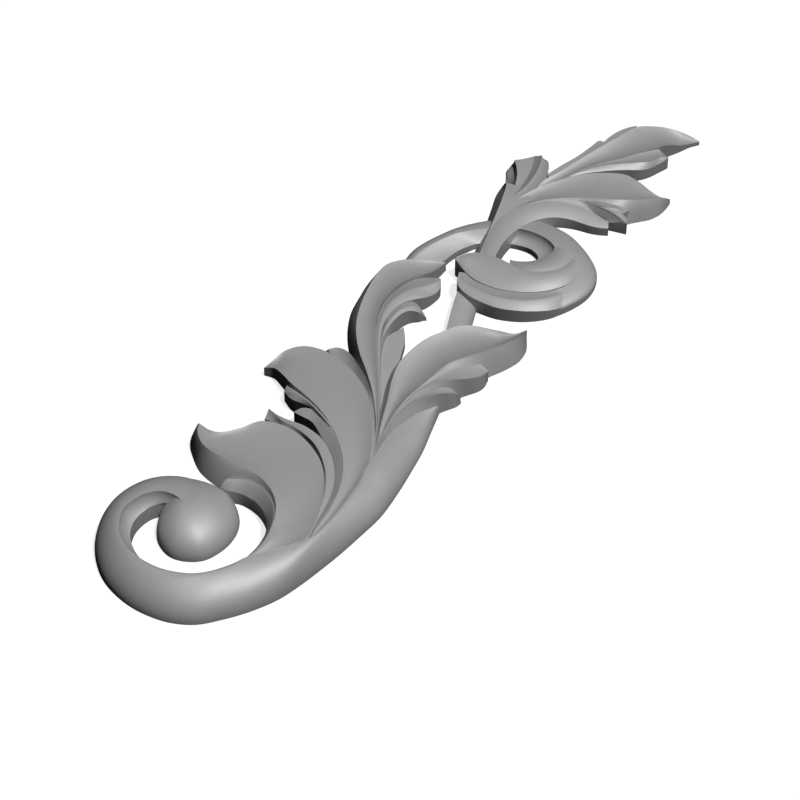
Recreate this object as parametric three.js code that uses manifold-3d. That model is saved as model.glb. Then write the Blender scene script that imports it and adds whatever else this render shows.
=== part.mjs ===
import * as THREE from 'three';
import { mergeVertices } from 'three/addons/utils/BufferGeometryUtils.js';
import Module from 'manifold-3d';

// A carved onlay: a volute with a ball eye, a stem with four acanthus leaves, a second scroll
// and a leaf spray. It lies on its flat back, with the sweep of the carving along X.

// Driving dimensions, in millimetres.
const LENGTH = 318; // from the ring of the volute to the tip of the leaf spray
const RELIEF = 12; // from the flat back to the top of the volute
const SECTION_STEP = 6.5; // spacing of the sections along a lobe
const ROUND_FACETS = 5; // facets across a quarter-round edge
const HOLLOW_FACETS = 3; // facets across a hollowed or crowned face
const WELD = 0.02; // corners closer than this become one where lobes are joined
const COLOUR = 0x8e8e8d;

const wasm = await Module();
wasm.setup();

// Carving is drawn in shares: x and y in hundredths of LENGTH, height in hundredths of RELIEF.
const place = ([x, y, height]) => new THREE.Vector3(
  (x * LENGTH) / 100,
  (y * LENGTH) / 100,
  (height * RELIEF) / 100,
);

// A rail is one carved line, such as an edge, a fold or a crease: a smooth curve through a few places.
const rail = (places) => new THREE.CatmullRomCurve3(places.map(place), false, 'centripetal');

// How a face runs from one rail to the next: crowned (or hollowed, below zero) by a share of RELIEF,
// rounded over from the higher rail, or coved down to the lower one.
const crown = (share) => ({ facets: HOLLOW_FACETS, share });
const ROUND = { facets: ROUND_FACETS, arc: 'round' };
const COVE = { facets: HOLLOW_FACETS, arc: 'cove' };
const CROWN_FULL_WIDTH = LENGTH / 40; // narrower faces are crowned in proportion

// One point of a face, at a share of the way from the point a on one rail to b on the next.
function acrossFace(a, b, share, face) {
  if (face.arc) {
    const falls = a.z > b.z;
    const turn = (share * Math.PI) / 2;
    const steepFirst = face.arc === 'round' ? falls : !falls;
    const run = steepFirst ? Math.sin(turn) : 1 - Math.cos(turn);
    const rise = steepFirst ? 1 - Math.cos(turn) : Math.sin(turn);
    return new THREE.Vector3(
      a.x + (b.x - a.x) * run,
      a.y + (b.y - a.y) * run,
      a.z + (b.z - a.z) * rise,
    );
  }
  const point = a.clone().lerp(b, share);
  const width = Math.hypot(b.x - a.x, b.y - a.y);
  const bulge = (face.share * RELIEF) / 100 * Math.min(1, width / CROWN_FULL_WIDTH);
  point.z += bulge * 4 * share * (1 - share);
  return point;
}

// Joins a grid of points (section by section, each from one edge to the other) to the flat back.
function solidOverBack(grid, closed = false) {
  const positions = [];
  const triangle = (a, b, c) => positions.push(...a.toArray(), ...b.toArray(), ...c.toArray());
  const quad = (a, b, c, d) => {
    triangle(a, b, c);
    triangle(a, c, d);
  };
  const onBack = (point) => new THREE.Vector3(point.x, point.y, 0);
  const sections = closed ? [...grid, grid[0]] : grid;
  const last = sections[0].length - 1;
  for (let i = 0; i + 1 < sections.length; i += 1) {
    const near = sections[i];
    const far = sections[i + 1];
    for (let j = 0; j < last; j += 1) {
      quad(near[j], near[j + 1], far[j + 1], far[j]);
    }
    quad(onBack(near[0]), onBack(far[0]), onBack(far[last]), onBack(near[last]));
    quad(near[0], far[0], onBack(far[0]), onBack(near[0]));
    quad(near[last], onBack(near[last]), onBack(far[last]), far[last]);
  }
  if (!closed) {
    endFace(sections[0], triangle, onBack, false);
    endFace(sections[sections.length - 1], triangle, onBack, true);
  }
  return toManifold(positions);
}

// The flat end of a lobe: the section and its two feet on the back, fanned from the first foot.
function endFace(section, triangle, onBack, flip) {
  const last = section.length - 1;
  const outline = [...section, onBack(section[last])];
  const foot = onBack(section[0]);
  for (let j = 0; j + 1 < outline.length; j += 1) {
    if (flip) {
      triangle(foot, outline[j], outline[j + 1]);
    } else {
      triangle(foot, outline[j + 1], outline[j]);
    }
  }
}

// A closed triangle list as a manifold solid, with shared corners merged and empty triangles left out.
function toManifold(positions) {
  const geometry = new THREE.BufferGeometry();
  geometry.setAttribute('position', new THREE.Float32BufferAttribute(positions, 3));
  const merged = mergeVertices(geometry, 1e-3);
  const index = merged.index.array;
  const triVerts = [];
  for (let i = 0; i < index.length; i += 3) {
    const [a, b, c] = [index[i], index[i + 1], index[i + 2]];
    if (a !== b && b !== c && c !== a) {
      triVerts.push(a, b, c);
    }
  }
  const vertProperties = merged.attributes.position.array;
  if (enclosedVolume(vertProperties, triVerts) < 0) {
    triVerts.reverse();
  }
  return new wasm.Manifold(new wasm.Mesh({
    numProp: 3,
    vertProperties,
    triVerts: new Uint32Array(triVerts),
    tolerance: WELD,
  }));
}

// The volume inside a closed triangle list, which is below zero where the triangles face inwards.
function enclosedVolume(vertProperties, triVerts) {
  const corner = (k) => new THREE.Vector3().fromArray(vertProperties, 3 * triVerts[k]);
  let volume = 0;
  for (let i = 0; i < triVerts.length; i += 3) {
    volume += corner(i).dot(corner(i + 1).cross(corner(i + 2))) / 6;
  }
  return volume;
}

// Keeps a smooth curve that ends on the back from dipping through it.
const aboveBack = (point) => point.setZ(Math.max(0, point.z));

// A lobe: faces spread between rails that run side by side from the tip to the root.
function lobe(rails, faces) {
  const curves = rails.map(rail);
  const longest = Math.max(...curves.map((curve) => curve.getLength()));
  const sections = Math.max(4, Math.ceil(longest / SECTION_STEP));
  const lines = curves.map((curve) => curve.getSpacedPoints(sections).map(aboveBack));
  const grid = [];
  for (let i = 0; i <= sections; i += 1) {
    const row = [lines[0][i]];
    faces.forEach((face, k) => {
      for (let j = 1; j <= face.facets; j += 1) {
        row.push(acrossFace(lines[k][i], lines[k + 1][i], j / face.facets, face));
      }
    });
    grid.push(row);
  }
  return solidOverBack(grid);
}

// A dome: a quarter-round swept all the way round a closed outline, up to its crown.
function dome(outline, top) {
  const curve = new THREE.CatmullRomCurve3(outline.map(place), true, 'centripetal');
  const sections = Math.ceil(curve.getLength() / SECTION_STEP);
  const edge = curve.getSpacedPoints(sections).slice(0, sections);
  const crownPoint = place(top);
  const grid = edge.map((point) => {
    const row = [];
    for (let j = 0; j <= ROUND_FACETS; j += 1) {
      row.push(acrossFace(point, crownPoint, j / ROUND_FACETS, ROUND));
    }
    return row;
  });
  return solidOverBack(grid, true);
}

// The stem and the ring that it curls into, with the ball in its eye.
function volute() {
  return [
    lobe([
      [[8.3, -1.9, 0], [2.7, -4.2, 0], [-0.3, -5.2, 0], [-3.5, -6.1, 0], [-7.8, -7, 0],
        [-11.5, -7.2, 0], [-14.9, -7.2, 0], [-18, -7.1, 0], [-24, -6.4, 0], [-27.1, -5.3, 0],
        [-29.9, -3.7, 0], [-32.2, -2, 0], [-34.4, 2.4, 0], [-34.8, 4.9, 0], [-33.7, 10.3, 0],
        [-31.9, 12.9, 0], [-27.1, 16, 0], [-24.1, 16.3, 0], [-20.9, 15.5, 0], [-18.3, 13.4, 0],
        [-17, 10.9, 0]],
      [[8.3, -1.8, 38], [5.8, -1, 44], [2.7, -1, 53], [-0.9, -1.6, 68], [-4.8, -2.7, 76],
        [-7.4, -3.7, 78], [-10, -4.4, 81], [-14.2, -5.3, 86], [-17.3, -5.3, 90], [-20.3, -4.2, 93],
        [-23.7, -2.3, 96], [-28.8, 0.1, 96], [-31.4, 4.9, 96], [-30.9, 9, 96], [-29.5, 11.3, 96],
        [-27.1, 12.8, 96], [-22.9, 11.8, 96], [-22.2, 10.1, 96], [-22.4, 8.4, 96]],
      [[8.3, -1.6, 33], [5.8, -0.8, 40], [2.8, -0.7, 49], [-0.7, -1.3, 63], [-4.7, -2.4, 74],
        [-7.3, -3.5, 77], [-10, -4.2, 79], [-14.1, -5, 84], [-17.2, -5.1, 88], [-20.2, -4, 92],
        [-23.6, -2.1, 94], [-25.8, -1.3, 92], [-28.6, 0.3, 92], [-30.7, 3.5, 92], [-31, 6.6, 79],
        [-29.7, 9.3, 58], [-28.4, 10.9, 54], [-24.6, 11.9, 54], [-22.6, 10.9, 57], [-22.1, 10.1, 62]],
    ], [ROUND, COVE]),
    dome([
      [-16.9, 10.9, 0], [-16.4, 7.8, 0], [-18, 4.5, 0], [-21, 2.9, 0], [-24.8, 3.3, 0], [-26.9, 6.5, 0],
        [-26.4, 8.7, 0], [-23.4, 11.3, 0], [-21.7, 11.7, 0], [-18.4, 13.2, 0], [-17.6, 12.3, 0],
    ], [-22.4, 8.4, 96]),
  ];
}

// The first leaf, rolled under along its left edge, with the tongue beside the ring and its back lobe.
function ringLeaf() {
  return [
    lobe([
      [[-11.5, 17.3, 0], [-12.4, 16.9, 0], [-14.3, 14.9, 0], [-15.9, 11, 0], [-15.7, 8, 0],
        [-15.1, 6.6, 0], [-15, 3.6, 0], [-16.8, 0.7, 0], [-20.3, -0.8, 0], [-23.9, -1.5, 0]],
      [[-11.8, 16.1, 68], [-14.1, 13.5, 79], [-14.3, 9.7, 84], [-14.1, 4.8, 90], [-15.8, 1.1, 93],
        [-20.8, -1.9, 95], [-24.4, -2.1, 95]],
      [[-11.7, 16.1, 68], [-13.2, 13.4, 68], [-13.2, 9.7, 72], [-12.8, 7.2, 77], [-13.6, 2.9, 84],
        [-16.7, -0.5, 90], [-20.6, -2.3, 94], [-24.3, -2.1, 95]],
      [[-11.7, 16.1, 68], [-11.4, 13.3, 72], [-9.6, 11.9, 74], [-7.3, 11, 74], [-6.3, 9, 74],
        [-6.1, 6.1, 75], [-7.3, 2.4, 77], [-9.1, 0, 78], [-11.3, -1.7, 80], [-13.8, -3.3, 84],
        [-16.7, -4.5, 88], [-19.6, -5.1, 92]],
    ], [crown(15), crown(0), crown(-5)]),
    lobe([
      [[-17.1, 8.2, 47], [-16.2, 4.1, 50], [-17.9, 0.6, 48], [-21.5, -1.2, 65], [-24.3, -1.9, 88]],
      [[-16.9, 8, 60], [-16.3, 7.9, 72], [-15.2, 6.1, 78], [-15.9, 1.7, 89], [-17.6, -0.2, 91],
        [-20.5, -1.7, 92], [-24.4, -2, 95]],
      [[-15.6, 8.6, 50], [-13.9, 6.6, 50], [-13.8, 4.3, 50], [-16.2, 0, 58], [-20.5, -2, 75],
        [-24.3, -2.3, 88]],
    ], [crown(8), crown(0)]),
    lobe([
      [[-5.9, 11.6, 42], [-5.5, 6.7, 35], [-5.7, 4.9, 32], [-8.6, 0.6, 52], [-14, -3, 75],
        [-19.2, -5.1, 87]],
      [[-4.8, 11.9, 60], [-5.4, 9.6, 62], [-5.5, 5.6, 63], [-8.8, 0, 70], [-13.7, -3.3, 78],
        [-18.9, -5.3, 88]],
      [[-4.8, 11.9, 60], [-4.6, 9.1, 55], [-4.5, 4.4, 55], [-7.3, 0, 61], [-12.6, -3.3, 74],
        [-18.4, -5.4, 88]],
    ], [crown(-2), crown(-2)]),
  ];
}

// The second leaf, with two lobes stepping down on its left and one behind it.
function secondLeaf() {
  return [
    lobe([
      [[-3, 9.8, 43], [-3.1, 7, 52], [-4.3, 4.5, 53], [-7.3, 0.1, 60], [-12.5, -3.1, 73],
        [-18, -5, 86]],
      [[-3, 9.8, 43], [-2.2, 9.4, 52], [-2, 6.6, 68], [-4, 2.5, 77], [-7.4, -1.3, 78], [-12.9, -4, 84],
        [-17.8, -5.3, 88]],
    ], [crown(2)]),
    lobe([
      [[-1.2, 12.9, 42], [-1.8, 11.3, 49], [-1.8, 8.3, 63], [-3, 4.6, 76]],
      [[-1.2, 12.9, 42], [-1.4, 10, 68], [-3, 4.4, 78]],
      [[-1.2, 12.9, 42], [-0.1, 13.2, 45], [-1, 8.6, 62], [-2.7, 4.6, 77]],
    ], [crown(2), crown(-2)]),
    lobe([
      [[0.4, 17.4, 32], [0.7, 16.1, 47], [-0.4, 12.5, 67], [-1.5, 7.6, 75], [-4, 2.5, 78],
        [-7.5, -1.3, 78], [-10, -2.9, 82], [-12.9, -4, 85], [-17.3, -5.3, 90]],
      [[0.4, 17.4, 32], [3.3, 16.7, 58], [4.8, 15.5, 68], [5.7, 13.4, 73], [5.6, 10.4, 78],
        [4.9, 7.4, 79], [3.6, 4.7, 80], [1.5, 2.3, 78], [-1.4, -0.3, 77], [-4.3, -2.3, 75],
        [-7.3, -3.6, 78], [-11.1, -4.5, 80], [-13.7, -5, 84], [-17.3, -5.5, 89]],
    ], [crown(-8)]),
    lobe([
      [[6.6, 13.4, 45], [6.3, 10.4, 43], [5.2, 6.9, 52], [2.2, 3, 70], [-1.1, 0.1, 74], [-4, -2.3, 74]],
      [[6.4, 13.3, 53], [7.7, 11.8, 62], [5.5, 6.3, 72], [1.2, 1.5, 76], [-3.9, -2.7, 74]],
    ], [crown(-2)]),
  ];
}

// The upright leaf and its two lower right-hand lobes.
function uprightLeaf() {
  return [
    lobe([
      [[27.4, 12.7, 0], [25.7, 14.7, 0], [23.6, 17.4, 0], [19.9, 18.3, 0], [14.7, 16.6, 0],
        [12.2, 15, 0], [8.4, 11.2, 0], [5.5, 6.9, 0], [3.6, 4.5, 0], [0.4, 1.4, 0], [-2.9, -1.4, 0]],
      [[27.4, 12.7, 35], [25.6, 14.6, 48], [23.3, 16.8, 54], [21.9, 17.3, 55], [17.7, 16.4, 58],
        [12.2, 13.6, 65], [8.3, 9.8, 70], [6.5, 7.3, 72], [2.8, 2.8, 74], [0.5, 0.7, 75],
        [-3.3, -2.2, 73]],
      [[27.4, 12.7, 34], [24.7, 12.6, 48], [20.4, 13.9, 60], [16, 13.1, 67], [11.5, 10.2, 71],
        [8.4, 7.4, 73], [4.8, 4.1, 74], [1.9, 1.7, 75], [-0.7, -0.4, 75], [-3.2, -2.3, 73]],
    ], [crown(7), crown(-7)]),
    lobe([
      [[24.6, 11.3, 43], [23.5, 12.9, 42], [20.6, 13.7, 49], [16.6, 13.2, 58], [13, 11.3, 66],
        [10.3, 9.2, 68], [7.2, 6.4, 71], [4.2, 3.7, 72], [1.2, 1.1, 74], [-3.3, -2.2, 73]],
      [[24.3, 11, 43], [21.8, 11.5, 57], [18.9, 12.5, 65], [15.2, 12, 68], [10.4, 8.9, 72],
        [7.3, 6.1, 74], [4.3, 3.5, 75], [1.2, 1, 75], [-3.3, -2.2, 73]],
      [[24.4, 11, 42], [22.3, 10.2, 37], [19.7, 10.9, 55], [17.1, 11.6, 62], [13.8, 10.8, 66],
        [10.3, 8.4, 70], [7.5, 6, 72], [4.4, 3.4, 73], [1.2, 1, 74], [-3.3, -2.2, 73]],
    ], [crown(1), crown(2)]),
    lobe([
      [[19.3, 9, 12], [19.3, 10, 40], [19.4, 10.9, 45], [17.7, 11.7, 54], [14, 10.9, 62],
        [10.3, 8.5, 67], [7.5, 6.2, 70], [4.4, 3.6, 72], [1.2, 1.1, 73], [-3.3, -2.2, 73]],
      [[19.3, 9, 12], [19.3, 9.7, 33], [18, 10.6, 58], [15.4, 10.8, 66], [12, 9.5, 69], [7.5, 6, 73],
        [4.4, 3.4, 74], [1.2, 0.9, 75], [-3.3, -2.2, 73]],
      [[19.3, 9, 10], [18.5, 9.5, 42], [16.9, 10.4, 58], [13.9, 10.1, 63], [10.4, 8.3, 68],
        [7.5, 6, 72], [4.5, 3.4, 72], [1.3, 1, 73], [-3.3, -2.2, 73]],
    ], [crown(1), crown(2)]),
  ];
}

// The right-hand leaf, rolled under at its tip, with its two lower lobes.
function rightLeaf() {
  return [
    lobe([
      [[11.1, -2.5, 37], [10.2, -1, 62], [4.5, 0.2, 73], [-0.2, -0.7, 75], [-3.3, -2.2, 73]],
      [[11.1, -2.7, 38], [9.6, -1.9, 66], [5.4, -0.3, 78], [-0.2, -0.7, 78], [-3.3, -2.2, 73]],
      [[11.3, -2.7, 0], [6.2, -1.6, 0], [0.8, -1.9, 0], [-3.1, -2.6, 0]],
    ], [crown(-2), crown(6)]),
    lobe([
      [[16.1, -2.7, 40], [16.1, -0.8, 52], [13.4, 0.9, 67], [7.6, 0.9, 74], [2, -0.2, 76],
        [-3.3, -2.2, 73]],
      [[16.1, -2.8, 40], [13.2, -2.4, 62], [9.3, -0.1, 77], [7.1, 0.4, 78], [1.9, -0.3, 78],
        [-3.3, -2.2, 73]],
      [[16.2, -2.7, 0], [15.1, -3.1, 0], [10.5, -1.8, 0], [3.9, -1.3, 0], [-3.1, -2.6, 0]],
    ], [crown(-4), crown(8)]),
    lobe([
      [[23.3, -2.6, 72], [22, -1.9, 70], [19.8, 2.5, 76], [16.9, 4.4, 78], [12.2, 5.3, 79],
        [8.1, 4.4, 78], [4, 2.1, 76], [1.7, 0.8, 76], [-3.3, -2.2, 73]],
      [[23.3, -2.7, 73], [18.1, -1.6, 81], [13.1, 0.6, 82], [8.5, 0.8, 80], [2.3, 0, 78],
        [-3.3, -2.2, 73]],
      [[23.2, -2.7, 63], [18.1, -1.6, 76], [13.1, 0.6, 77], [8.4, 0.7, 76], [2.2, -0.1, 76],
        [-3.3, -2.2, 73]],
      [[23.4, -2.7, 0], [20.8, -3.5, 0], [14.4, -1.9, 0], [8.1, -1.2, 0], [3.7, -1.4, 0],
        [-3.1, -2.6, 0]],
    ], [crown(-15), crown(0), crown(8)]),
    lobe([
      [[11.4, 6.3, 30], [9.4, 6.1, 25], [3.6, 3, 33], [0.8, 0.8, 53], [-3.3, -2.2, 73]],
      [[10.1, 5.1, 78], [6.2, 3.4, 76], [1.7, 0.8, 75], [-3.3, -2.2, 73]],
      [[12.3, 5.4, 46], [9.9, 4.5, 46], [5.6, 2.1, 46], [0.7, -0.4, 50], [-3.3, -2.2, 73]],
    ], [crown(0), crown(0)]),
  ];
}

// The fork, and the thin and arched stems that run behind the leaves to the second scroll.
function stems() {
  return [
    lobe([
      [[-17.5, -1.7, 38], [-11.3, -1, 38], [-2.1, 2.3, 38], [4.4, 5.5, 38], [9.1, 5.7, 38],
        [11.9, 5.1, 33]],
      [[-19.1, -5.3, 38], [-10.4, -4.8, 38], [-2, -3.1, 38], [3.5, -1.7, 33], [7.5, -1, 30],
        [12.1, -0.7, 30]],
    ], [crown(0)]),
    lobe([
      [[24.6, 8.6, 43], [18.2, 5.2, 44], [14, 2.9, 45], [7.7, -1.1, 42]],
      [[25.2, 5.9, 0], [21.9, 4.3, 0], [18.5, 2.4, 0], [13.9, 0.2, 0], [9.2, -1.7, 0]],
    ], [ROUND]),
    lobe([
      [[15.9, 9.6, 28], [13.2, 10, 30], [10.5, 9.2, 32], [6.3, 5.7, 38], [0.5, 0.9, 50]],
      [[15.8, 9.5, 28], [14.3, 8.1, 29], [10.6, 6, 32], [5.3, 2.9, 42], [0.8, 0.3, 53]],
    ], [crown(2)]),
    lobe([
      [[23.6, 16.9, 0], [26.9, 17.6, 0], [33.6, 16, 0], [36.9, 14.1, 0], [38.5, 12.4, 0]],
      [[23.8, 15.5, 43], [26, 15.9, 47], [31.8, 14.5, 50], [36.3, 10.6, 52]],
      [[25.9, 13.6, 25], [32.6, 12.4, 22], [35.1, 9.8, 17]],
    ], [ROUND, crown(-2)]),
  ];
}

// The second scroll: its round body, outer band, broad curled lobe, inner ledge and rolled eye.
function scroll() {
  return [
    lobe([
      [[36.9, 14.1, 0], [39, 12.2, 0], [41.3, 8, 0], [40.9, 3.1, 0], [38.6, -1, 8], [35.8, -2.8, 16],
        [31.6, -2.8, 22], [27, -0.5, 23], [25.4, 1.5, 23]],
      [[35, 12.2, 51], [37.2, 9.1, 52], [36.8, 3.9, 58], [33.7, 4.4, 58], [32.2, 6.7, 48]],
    ], [ROUND]),
    lobe([
      [[24.9, 9, 67], [24.1, 7.3, 58], [24.8, 2.5, 49], [27.7, -1.1, 42], [31.6, -2.5, 20],
        [34.4, -2.3, 7]],
      [[25.2, 9.2, 68], [25.2, 5.8, 65], [27.1, 1.4, 62], [30.6, -1.1, 50], [35.6, -1.4, 23]],
      [[26.2, 9.8, 62], [26.8, 9.4, 55], [26.9, 5.7, 51], [30, 0.7, 50], [33.4, -0.8, 42],
        [35.4, -0.8, 35]],
    ], [crown(3), crown(-2)]),
    lobe([
      [[27.4, 11.4, 70], [26.6, 8, 58], [28.2, 2.6, 55], [31.5, -0.5, 54], [35.4, -1, 45]],
      [[27.4, 11.4, 72], [29.5, 10.5, 73], [30.8, 6.9, 74], [30.9, 4.3, 74], [32.3, 2.1, 72],
        [35.2, 0.9, 62], [37, 1.1, 55]],
    ], [crown(7)]),
    lobe([
      [[31.4, 6.4, 55], [31.2, 4.3, 65], [33.8, 1.3, 64], [37.7, 1.5, 52]],
      [[32.2, 6.9, 47], [32.7, 5.2, 55], [35.6, 3.6, 59], [37.1, 4, 57]],
    ], [crown(8)]),
    lobe([
      [[35.6, 11.3, 51], [37.4, 7.3, 56], [36.8, 3.9, 58], [34, 4.2, 58]],
      [[34.6, 10.5, 17], [36, 7.6, 22], [35.5, 5.3, 27], [33.7, 4.6, 43]],
    ], [COVE]),
  ];
}

// The leaf spray: its stem, lower band, pleats, two long leaves, and the curled pair on the left.
function spray() {
  return [
    lobe([
      [[29.8, 11.1, 0], [36.9, 14.3, 0], [41.7, 16.6, 0], [44.3, 17.2, 0]],
      [[28.5, 9.1, 72], [32.2, 10.8, 67], [38.3, 13.5, 59], [42.7, 15.8, 49]],
      [[29, 7.6, 69], [33.5, 9.2, 60], [36.9, 9.8, 53], [42.1, 8.3, 48], [45.8, 6.2, 48]],
    ], [crown(0), crown(-2)]),
    lobe([
      [[30.5, 8, 68], [34.1, 9.2, 60], [39.8, 8.9, 47], [42.7, 6.1, 40], [43.5, 3.7, 33],
        [44.6, 1.7, 32]],
      [[30.1, 9.5, 72], [36.8, 12.1, 61], [42.5, 10.5, 58], [44.8, 7.8, 54], [45.3, 2.3, 40]],
    ], [crown(4)]),
    lobe([
      [[45.4, 2.3, 34], [45.2, 6.5, 47], [43.9, 9.3, 55]],
      [[46.2, 0.2, 46], [46.1, 2.9, 66], [45.2, 7.8, 58], [44, 9.4, 56]],
    ], [crown(0)]),
    lobe([
      [[46.2, 0.3, 45], [46, 2.9, 65], [45.2, 7.6, 58]],
      [[47, 0.8, 43], [46.6, 2.2, 62], [45.2, 7.8, 58]],
    ], [crown(0)]),
    lobe([
      [[47, 1.5, 54], [46.3, 3, 66], [45.9, 6.1, 60]],
      [[47.1, 1.4, 58], [46.2, 3.6, 68], [45.9, 6.3, 60]],
      [[48.4, 1.5, 45], [47.5, 3.5, 59], [46.1, 6.5, 59]],
    ], [crown(2), crown(0)]),
    lobe([
      [[54.1, -0.4, 0], [51.7, -0.8, 0], [47.8, 1.2, 0], [44.7, 3, 0], [43.2, 5.7, 0], [41.3, 8, 0],
        [37.3, 9.4, 0], [33.3, 9.2, 0]],
      [[54.1, -0.4, 17], [53.1, -0.4, 38], [50, 1.2, 66], [47.1, 5, 65], [44.3, 8.8, 60],
        [39.9, 11.5, 59], [37.1, 11.9, 62]],
      [[54.2, -0.4, 17], [52.7, 0.1, 45], [52.9, 3.3, 55], [52.8, 5.3, 59], [50.4, 8.7, 59],
        [48.4, 10.2, 58], [45.1, 11.8, 57], [43.1, 12.5, 55], [38.8, 12.9, 54]],
    ], [crown(11), crown(-8)]),
    lobe([
      [[59.3, 3.7, 43], [56.4, 4.4, 38], [53.4, 6.7, 51], [49.4, 9.8, 55], [43.8, 11.9, 48]],
      [[59.2, 3.7, 46], [55.8, 5.5, 58], [54, 7.2, 61], [49.7, 10, 59], [43.7, 11.8, 49]],
      [[60, 5.9, 45], [55.3, 8.1, 50], [49.3, 10.5, 54], [43.7, 11.9, 48]],
    ], [crown(3), crown(-5)]),
    lobe([
      [[65.3, 3.3, 13], [64.1, 3.9, 16], [60.8, 5, 52], [57.6, 6.8, 55], [55, 7.9, 58], [52.7, 9.2, 58],
        [50, 10.3, 58], [47.1, 11, 55], [43.8, 12, 48]],
      [[65.4, 3.3, 14], [64.1, 7.3, 37], [61.3, 10, 49], [58.3, 10.4, 55], [51.6, 11.5, 58],
        [48.2, 11.9, 58], [45.4, 12.5, 53], [43.4, 12.2, 45]],
    ], [crown(-11)]),
    lobe([
      [[60.8, 9.5, 47], [54.7, 10.6, 45], [51.4, 11.1, 45], [45.4, 11.8, 47]],
      [[61.7, 10.4, 43], [59.5, 11.6, 38], [56.8, 11.8, 38], [56.8, 12.3, 37], [52.6, 12.5, 39],
        [47.6, 13.1, 43]],
    ], [crown(-2)]),
    lobe([
      [[49.1, 14.3, 0], [45.5, 13.2, 17], [42, 13.4, 33]],
      [[49.5, 15.3, 37], [49.6, 14.9, 38], [45.7, 12.3, 48], [41, 12.7, 52]],
      [[49.9, 16, 35], [45.4, 14.1, 42], [40.6, 13.6, 53]],
    ], [crown(0), crown(-2)]),
    lobe([
      [[49.9, 16, 38], [47, 14.5, 48], [43.3, 13.6, 55], [40.7, 13.7, 53]],
      [[49.8, 17, 22], [46.1, 15.1, 34], [40.8, 13.8, 52]],
      [[47, 18, 38], [44.9, 15.9, 46], [40.8, 13.9, 51]],
      [[47.3, 18.3, 20], [43.8, 15.7, 28], [40.9, 14.1, 47]],
      [[47.1, 18.5, 10], [45.3, 17.7, 8], [43.1, 15.6, 23], [41, 14.3, 42]],
      [[47, 18.6, 0], [46, 18.4, 0], [43.2, 16.2, 8], [41.1, 14.7, 33]],
    ], [crown(-2), crown(-2), crown(0), crown(-2), crown(0)]),
  ];
}

const solids = [
  ...volute(),
  ...ringLeaf(),
  ...secondLeaf(),
  ...uprightLeaf(),
  ...rightLeaf(),
  ...stems(),
  ...scroll(),
  ...spray(),
];
const carving = solids.reduce((whole, solid) => whole.add(solid));

const { vertProperties, triVerts } = carving.getMesh();
const geometry = new THREE.BufferGeometry();
geometry.setAttribute('position', new THREE.BufferAttribute(vertProperties, 3));
geometry.setIndex(new THREE.BufferAttribute(triVerts, 1));
geometry.computeVertexNormals();

const onlay = new THREE.Mesh(geometry, new THREE.MeshStandardMaterial({
  color: COLOUR,
  roughness: 0.55,
  metalness: 0,
}));
onlay.name = 'carved_onlay';

const group = new THREE.Group();
group.add(onlay);

export default group;
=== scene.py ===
"""A carved onlay for furniture: a volute, leaves on a stem, a second scroll and a leaf spray.

It lies on its flat back with the sweep of the carving along X and the carved front up. Lengths are in
millimetres until they go into a mesh, and the frame and the meshes are in metres.
"""

import logging
import math
from collections.abc import Sequence
from dataclasses import dataclass, field
from enum import Enum

import bmesh
import bpy
import numpy as np
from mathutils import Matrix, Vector

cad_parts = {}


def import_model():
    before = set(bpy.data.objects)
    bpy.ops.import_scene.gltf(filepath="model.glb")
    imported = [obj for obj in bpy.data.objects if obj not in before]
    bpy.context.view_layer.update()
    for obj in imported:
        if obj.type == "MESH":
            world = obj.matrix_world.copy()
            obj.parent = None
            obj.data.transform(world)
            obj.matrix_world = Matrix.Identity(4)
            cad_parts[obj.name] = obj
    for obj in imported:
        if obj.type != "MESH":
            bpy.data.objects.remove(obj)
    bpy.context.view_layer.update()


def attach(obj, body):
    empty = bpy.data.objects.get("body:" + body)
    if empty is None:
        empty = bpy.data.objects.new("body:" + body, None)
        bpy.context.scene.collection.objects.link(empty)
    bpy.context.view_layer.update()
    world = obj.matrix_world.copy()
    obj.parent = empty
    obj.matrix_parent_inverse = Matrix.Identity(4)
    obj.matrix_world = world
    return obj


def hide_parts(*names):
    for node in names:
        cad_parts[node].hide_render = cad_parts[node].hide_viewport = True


LOG = logging.getLogger("carved_onlay")
MM = 0.001
NODE = "carved_onlay"
BODY = "root"
WHITE = (1.0, 1.0, 1.0, 1.0)
# Faces that meet at more than this angle keep a sharp edge.
CREASE = math.radians(33)
# Corners of a lobe nearer than this are one corner, and places on a line one place, in millimetres.
DOUBLED = 0.004
SAME_PLACE = 1e-6
# Each stretch of a line is read in this many parts to measure its length.
FINE_PARTS = 24
# A lobe has at least this many sections, however short it is.
FEWEST_SECTIONS = 8
# A dome's outline is read in this many parts for each of its sections.
OUTLINE_PARTS = 4

Point = tuple[float, float, float]
Rail = Sequence[Point]


class Turn(Enum):
    """How a face of a lobe runs from one carved line to the next."""

    CROWNED = "across"
    ROUND = "quarter round"
    COVE = "hollow quarter"


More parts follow.
